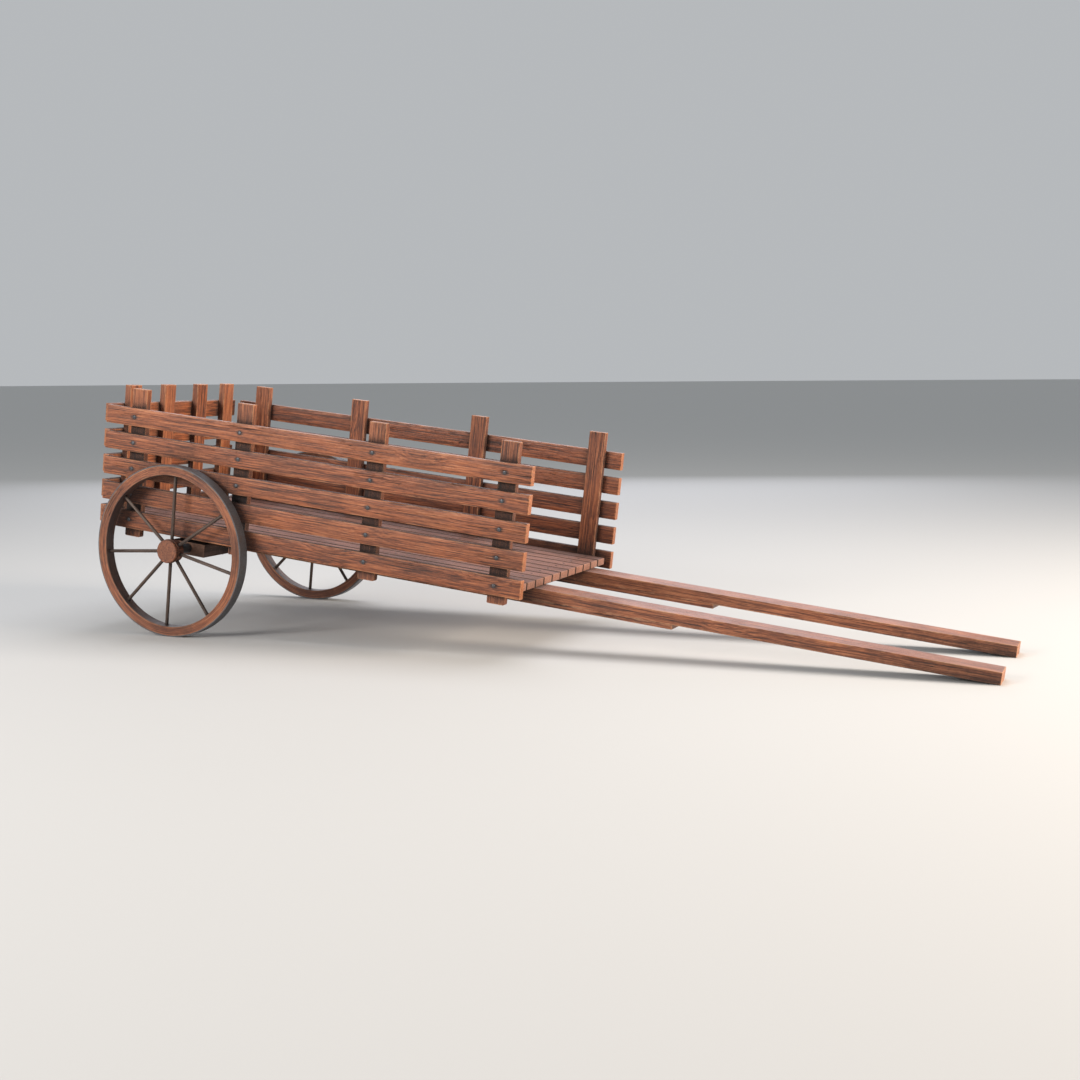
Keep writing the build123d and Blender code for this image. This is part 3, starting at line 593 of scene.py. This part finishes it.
def worn_board(name, grain, finish, nicks=0.0045):
    """A board whose corners are rubbed and knocked more in some places than in others."""
    order = ALONG[grain]
    low, high = (in_order(corner, order) for corner in extent(name))
    middle, half = (low + high) / 2, (high - low) / 2
    count = max(int((high.x - low.x) / STATION), 8)
    steps = np.array(END_STEPS)
    run = np.concatenate([low.x + steps[:-1],
                          np.linspace(low.x + steps[-1], high.x - steps[-1], count),
                          high.x - steps[-2::-1]])
    shrink = np.zeros(len(run))
    shrink[[0, -1]], shrink[[1, -2]] = END_ROUND
    radii = [EASED + nicks * np.clip(wandering(run, -0.8, 1.0, 0.055), 0, 1) ** 2
             + RUBBED * wandering(run, 0, 1, 0.4) for _ in range(4)]
    hollows = [wandering(run, 0, HOLLOW, 0.09) for _ in range(4)]
    wide, thick = (1, 2) if half[1] > half[2] else (2, 1)
    made = bmesh.new()
    loops = []
    for i, along_board in enumerate(run):
        w, t = half[wide] - shrink[i], half[thick] - shrink[i]
        ring = []
        for corner, (sw, st) in enumerate(((1, 1), (-1, 1), (-1, -1), (1, -1))):
            r = radii[corner][i]
            for step in range(ARC_STEPS + 1):
                turn = math.radians(90 * corner + 90 / ARC_STEPS * step)
                ring.append((sw * (w - r) + r * math.cos(turn),
                             st * (t - r) + r * math.sin(turn)))
            if corner in (0, 2):
                ring += [(sw * w / 3, st * (t - hollows[corner][i])),
                         (-sw * w / 3, st * (t - hollows[corner + 1][i]))]
        loop = []
        for across, deep in ring:
            spot = [along_board, 0.0, 0.0]
            spot[wide], spot[thick] = middle[wide] + across, middle[thick] + deep
            cart = [0.0, 0.0, 0.0]
            for letter, value in zip(order, spot):
                cart["XYZ".index(letter)] = value
            loop.append(made.verts.new(FROM_CART @ Vector(cart)))
        loops.append(loop)
    skin(made, loops)
    made.faces.new(loops[0])
    made.faces.new(loops[-1])
    bmesh.ops.recalc_face_normals(made, faces=made.faces)
    mesh = as_mesh(made, f"{name}_worn")
    mesh.polygons.foreach_set("use_smooth", [True] * len(mesh.polygons))
    mesh.set_sharp_from_angle(angle=math.radians(40))
    mesh.materials.append(finish)
    piece = new_object(f"{name}_worn", mesh)
    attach(piece, "cart")
    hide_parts(name)


def islands(name):
    """Lowest and highest corner of each loose solid of a node, in the cart's own directions."""
    mesh = nodes[name].data
    group_of = list(range(len(mesh.vertices)))

    def root(i):
        while group_of[i] != i:
            group_of[i] = group_of[group_of[i]]
            i = group_of[i]
        return i

    for edge in mesh.edges:
        a, b = (root(i) for i in edge.vertices)
        group_of[a] = b
    co = np.array([v.co for v in mesh.vertices]) @ np.array(TO_CART).T
    roots = np.array([root(i) for i in range(len(group_of))])
    found = [(co[roots == r].min(0), co[roots == r].max(0)) for r in np.unique(roots)]
    return [(Vector(low), Vector(high)) for low, high in found]


slats = {side: [f"{side}_slat_{i}" for i in range(1, 6)] for side in ("right", "left", "gate")}
posts = {side: [extent(f"{side}_post_{i}") for i in range(1, 5)] for side in slats}


def crossings(name):
    """Where the screws go in a slat's outer face, one at each post, and which way they face."""
    side = name.split("_")[0]
    low, high = extent(name)
    at = []
    for post_low, post_high in posts[side]:
        spot = (low + high) / 2
        if side == "gate":
            spot.x, spot.y = low.x, (post_low.y + post_high.y) / 2
        else:
            spot.x = (post_low.x + post_high.x) / 2
            spot.y = low.y if side == "right" else high.y
        at.append(spot)
    way = {"right": Vector((0, -1, 0)), "left": Vector((0, 1, 0)), "gate": Vector((-1, 0, 0))}
    return at, way[side]


nails = [Vector(((low.x + high.x) / 2, (low.y + high.y) / 2, high.z))
         for low, high in islands("floor_nails")]

for name in sorted(nodes):
    if name.startswith("floor_plank"):
        low, high = extent(name)
        spots = [nail for nail in nails if low.y < nail.y < high.y][:FIXINGS]
        finish = board(name, "floor", "X", grime=0.5, dust=0.3, wear=0.003, joints=0.97,
                       shelter=0.7, fixings=spots, dull=0.12)
        worn_board(name, "X", finish, nicks=0.003)
    elif "_slat_" in name:
        grain = "Y" if name.startswith("gate") else "X"
        finish = board(name, "slat", grain, grime=0.75 if grain == "Y" else 0.4,
                       fixings=[in_order(spot, ALONG[grain]) for spot in crossings(name)[0]])
        worn_board(name, grain, finish)
    elif "_post_" in name:
        # posts take the full painted shade, darkest between the slats
        board(name, "post", "Z", shelter=1.0)
    elif name in ("left_shaft", "right_shaft", "shaft_doublers"):
        board(name, "shaft", "X")
    elif name in ("axle_beam", "floor_bearers"):
        # painted shade: the darker stain stands for the shade beneath the bed
        board(name, "under_painted_shade", "Y", grime=0.7)

# ------------------------------------------------------------------ wheels
dark_iron = iron("axle_iron", (0.075, 0.075, 0.080), 0.5, 0.8)
tyre_iron = iron("tyre_iron", (0.120, 0.118, 0.125), 0.52, 0.6)
steel = iron("screw_steel", (0.10, 0.105, 0.115), 0.36, 0.9)
for name in ("axle_arms", "axle_retainers"):
    dress(name, dark_iron)
for name in ("floor_nails", "frame_bolts"):
    dress(name, steel)

RIM_JOINT = math.radians(101.5) - nose_down       # the round grain's seam lies at this joint
GRAIN_ROUND = 0.40                # length of grain laid along each radian round the wheel
RIM_HALF = 0.022                  # half the rim's depth, from tread to inside
NO_EDGES = Vector((5.0, 5.0, 5.0))                # a half size that puts board edges out of reach


def round_wheel(centre):
    """Distance round a wheel from its joint, out from its centre, and across it."""
    def place(tree):
        where = tree.nodes.new("ShaderNodeTexCoord").outputs["Object"]
        off = add_node(tree, "ShaderNodeSeparateXYZ",
                       [vector_maths(tree, "SUBTRACT", where, centre)]).outputs
        c, s = math.cos(RIM_JOINT), math.sin(RIM_JOINT)
        x = maths(tree, "ADD", maths(tree, "MULTIPLY", off[0], -c),
                  maths(tree, "MULTIPLY", off[2], -s))
        z = maths(tree, "ADD", maths(tree, "MULTIPLY", off[0], s),
                  maths(tree, "MULTIPLY", off[2], -c))
        radius = maths(tree, "SQRT", maths(tree, "ADD", maths(tree, "MULTIPLY", off[0], off[0]),
                                           maths(tree, "MULTIPLY", off[2], off[2])))
        turn = maths(tree, "MULTIPLY", maths(tree, "ARCTAN2", z, x), GRAIN_ROUND)
        return add_node(tree, "ShaderNodeCombineXYZ", [turn, radius, off[1]]).outputs[0]

    return place


for side in ("right", "left"):
    tyre_low, tyre_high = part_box(f"{side}_wheel_tyre")
    centre = (tyre_low + tyre_high) / 2
    around_wheel = round_wheel(centre)

    def out_from_hub(tree, around=around_wheel):
        return swap(tree, around(tree), "YXZ")

    rim_low, rim_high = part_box(f"{side}_wheel_rim")
    rim_r = (rim_high.x - rim_low.x) / 2
    dress(f"{side}_wheel_rim", timber(
        f"{side}_rim_timber", "rim", around_wheel, 11.0 + rim_r,
        Vector((0, rim_r - RIM_HALF, 0)), Vector((5.0, RIM_HALF, (rim_high.y - rim_low.y) / 2)),
        Vector((0, rim_r + 0.05, 0.01)), ring=0.005, grime=0.6, tone=0.03, shelter=0.35,
        wheel=centre))
    dress(f"{side}_wheel_spokes", timber(
        f"{side}_spoke_timber", "spoke", out_from_hub, 5.0, Vector((0.2, 0, 0)), NO_EDGES,
        Vector((0, 0.03, 0.04)), ring=0.004, grime=0.8))
    for part, seed in (("hub", 23.0), ("cap", 31.0)):
        low, high = (in_order(corner, "YXZ") for corner in extent(f"{side}_wheel_{part}"))
        middle = (low + high) / 2
        dress(f"{side}_wheel_{part}", timber(
            f"{side}_{part}_timber", "hub", along("YXZ"), seed, middle, NO_EDGES,
            middle + Vector((0, 0.012, 0.008)), ring=0.005, grime=0.6))
    dress(f"{side}_wheel_tyre", tyre_iron)

# ------------------------------------------------------------------ screws
# radius and height of each ring of a head, from its seat to its crown
SCREW_RINGS = ((0.0095, 0.0), (0.0095, 0.0008), (0.0088, 0.0018), (0.0068, 0.0028),
               (0.0042, 0.0033))
NAIL_RINGS = ((0.0052, -0.0004), (0.0054, 0.0004), (0.0046, 0.0011), (0.0022, 0.0016))
SCREW_SIDES, NAIL_SIDES = 20, 9
SLOT_SIZE, SLOT_HEIGHT = (0.024, 0.0018, 0.0046), 0.0042


def close_head(made, loops, name):
    """Skin a head's rings, close its crown and its seat, and put it in the scene."""
    skin(made, loops)
    made.faces.new(loops[-1])
    made.faces.new(list(reversed(loops[0])))
    return new_object(name, as_mesh(made, name))


def screw_head():
    """A low domed head with one slot, facing +Z."""
    made = bmesh.new()
    around = [math.tau * i / SCREW_SIDES for i in range(SCREW_SIDES)]
    loops = [[made.verts.new((r * math.cos(turn), r * math.sin(turn), h)) for turn in around]
             for r, h in SCREW_RINGS]
    head = close_head(made, loops, "screw_head")
    cut = bmesh.new()
    bmesh.ops.create_cube(cut, size=1.0, matrix=Matrix.Translation((0, 0, SLOT_HEIGHT)) @
                          Matrix.Diagonal((*SLOT_SIZE, 1)))
    cutter = new_object("slot_cutter", as_mesh(cut, "slot_cutter"))
    slot = head.modifiers.new("slot", "BOOLEAN")
    slot.operation, slot.object, slot.solver = "DIFFERENCE", cutter, "EXACT"
    bpy.context.view_layer.update()
    cut_head = bpy.data.meshes.new_from_object(
        head.evaluated_get(bpy.context.evaluated_depsgraph_get()))
    head.modifiers.clear()
    head.data = cut_head
    bpy.data.objects.remove(cutter)
    return head


def screw_rows():
    """Geometry Nodes that set a screw at every point, each turned its own way about its axis."""
    tree = bpy.data.node_groups.new("Screw rows", "GeometryNodeTree")
    face = tree.interface
    face.new_socket("Points", in_out="INPUT", socket_type="NodeSocketGeometry")
    face.new_socket("Head", in_out="INPUT", socket_type="NodeSocketObject")
    face.new_socket("Metal", in_out="INPUT", socket_type="NodeSocketMaterial")
    face.new_socket("Seed", in_out="INPUT", socket_type="NodeSocketInt")
    face.new_socket("Screws", in_out="OUTPUT", socket_type="NodeSocketGeometry")
    take = tree.nodes.new("NodeGroupInput").outputs
    give = tree.nodes.new("NodeGroupOutput").inputs
    head = add_node(tree, "GeometryNodeObjectInfo", {"Object": take["Head"]}).outputs["Geometry"]
    facing = add_node(tree, "GeometryNodeInputNamedAttribute", {"Name": "outward"},
                      data_type="FLOAT_VECTOR").outputs["Attribute"]
    stand = add_node(tree, "FunctionNodeAlignEulerToVector", {"Vector": facing}, axis="Z")
    spin = tree.nodes.new("FunctionNodeRandomValue")
    spin.data_type = "FLOAT"
    floats = [s for s in spin.inputs if s.type == "VALUE" and s.enabled]
    floats[0].default_value, floats[1].default_value = 0.0, math.tau
    tree.links.new(take["Seed"], next(s for s in spin.inputs if s.name == "Seed"))
    angle = next(s for s in spin.outputs if s.type == "VALUE" and s.enabled)
    turned = add_node(tree, "FunctionNodeRotateEuler", {"Rotation": stand.outputs[0]},
                      rotation_type="AXIS_ANGLE", space="LOCAL")
    put(tree, turned.inputs["Axis"], (0.0, 0.0, 1.0))
    put(tree, turned.inputs["Angle"], angle)
    placed = add_node(tree, "GeometryNodeInstanceOnPoints",
                      {"Points": take["Points"], "Instance": head, "Rotation": turned.outputs[0]})
    real = add_node(tree, "GeometryNodeRealizeInstances", [placed.outputs[0]])
    coated = add_node(tree, "GeometryNodeSetMaterial",
                      {"Geometry": real.outputs[0], "Material": take["Metal"]})
    tree.links.new(coated.outputs[0], give["Screws"])
    return tree


def run_nodes(name, mesh, tree, values):
    """The plain mesh that a tree of Geometry Nodes makes from a mesh."""
    start = new_object(name, mesh)
    modifier = start.modifiers.new("nodes", "NODES")
    modifier.node_group = tree
    for item in tree.interface.items_tree:
        if item.in_out == "INPUT" and item.name in values:
            modifier[item.identifier] = values[item.name]
    bpy.context.view_layer.update()
    result = bpy.data.meshes.new_from_object(
        start.evaluated_get(bpy.context.evaluated_depsgraph_get()))
    start.modifiers.clear()
    start.data = result
    result.name = name
    return start


def set_rows(name, head, spots, ways, metal, seed, stands_for):
    """One plain mesh of heads, one at each spot, for the CAD fixings they stand for."""
    rows = bpy.data.meshes.new(f"{name}_points")
    rows.from_pydata([FROM_CART @ spot for spot in spots], [], [])
    outward = rows.attributes.new("outward", "FLOAT_VECTOR", "POINT")
    outward.data.foreach_set("vector", [c for way in ways for c in FROM_CART @ way])
    made = run_nodes(name, rows, ROWS, {"Head": head, "Metal": metal, "Seed": seed})
    bpy.data.objects.remove(head)
    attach(made, "cart")
    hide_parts(stands_for)


def nail_head():
    """A forged nail's head, beaten to a few uneven facets, facing +Z."""
    beaten = np.random.default_rng(5)
    made = bmesh.new()
    loops = []
    for r, h in NAIL_RINGS:
        loops.append([made.verts.new((r * k * math.cos(math.tau * i / NAIL_SIDES),
                                      r * k * math.sin(math.tau * i / NAIL_SIDES), h * k))
                      for i, k in enumerate(beaten.uniform(0.92, 1.06, NAIL_SIDES))])
    return close_head(made, loops, "nail_head")


ROWS = screw_rows()
spots, ways = [], []
for side, names in slats.items():
    for name in names:
        at, way = crossings(name)
        spots += at
        ways += [way] * len(at)
set_rows("slat_screw_heads", screw_head(), spots, ways, steel, 7, "slat_screws")
set_rows("floor_nail_heads", nail_head(), nails, [Vector((0, 0, 1))] * len(nails), dark_iron, 3,
         "floor_nails")
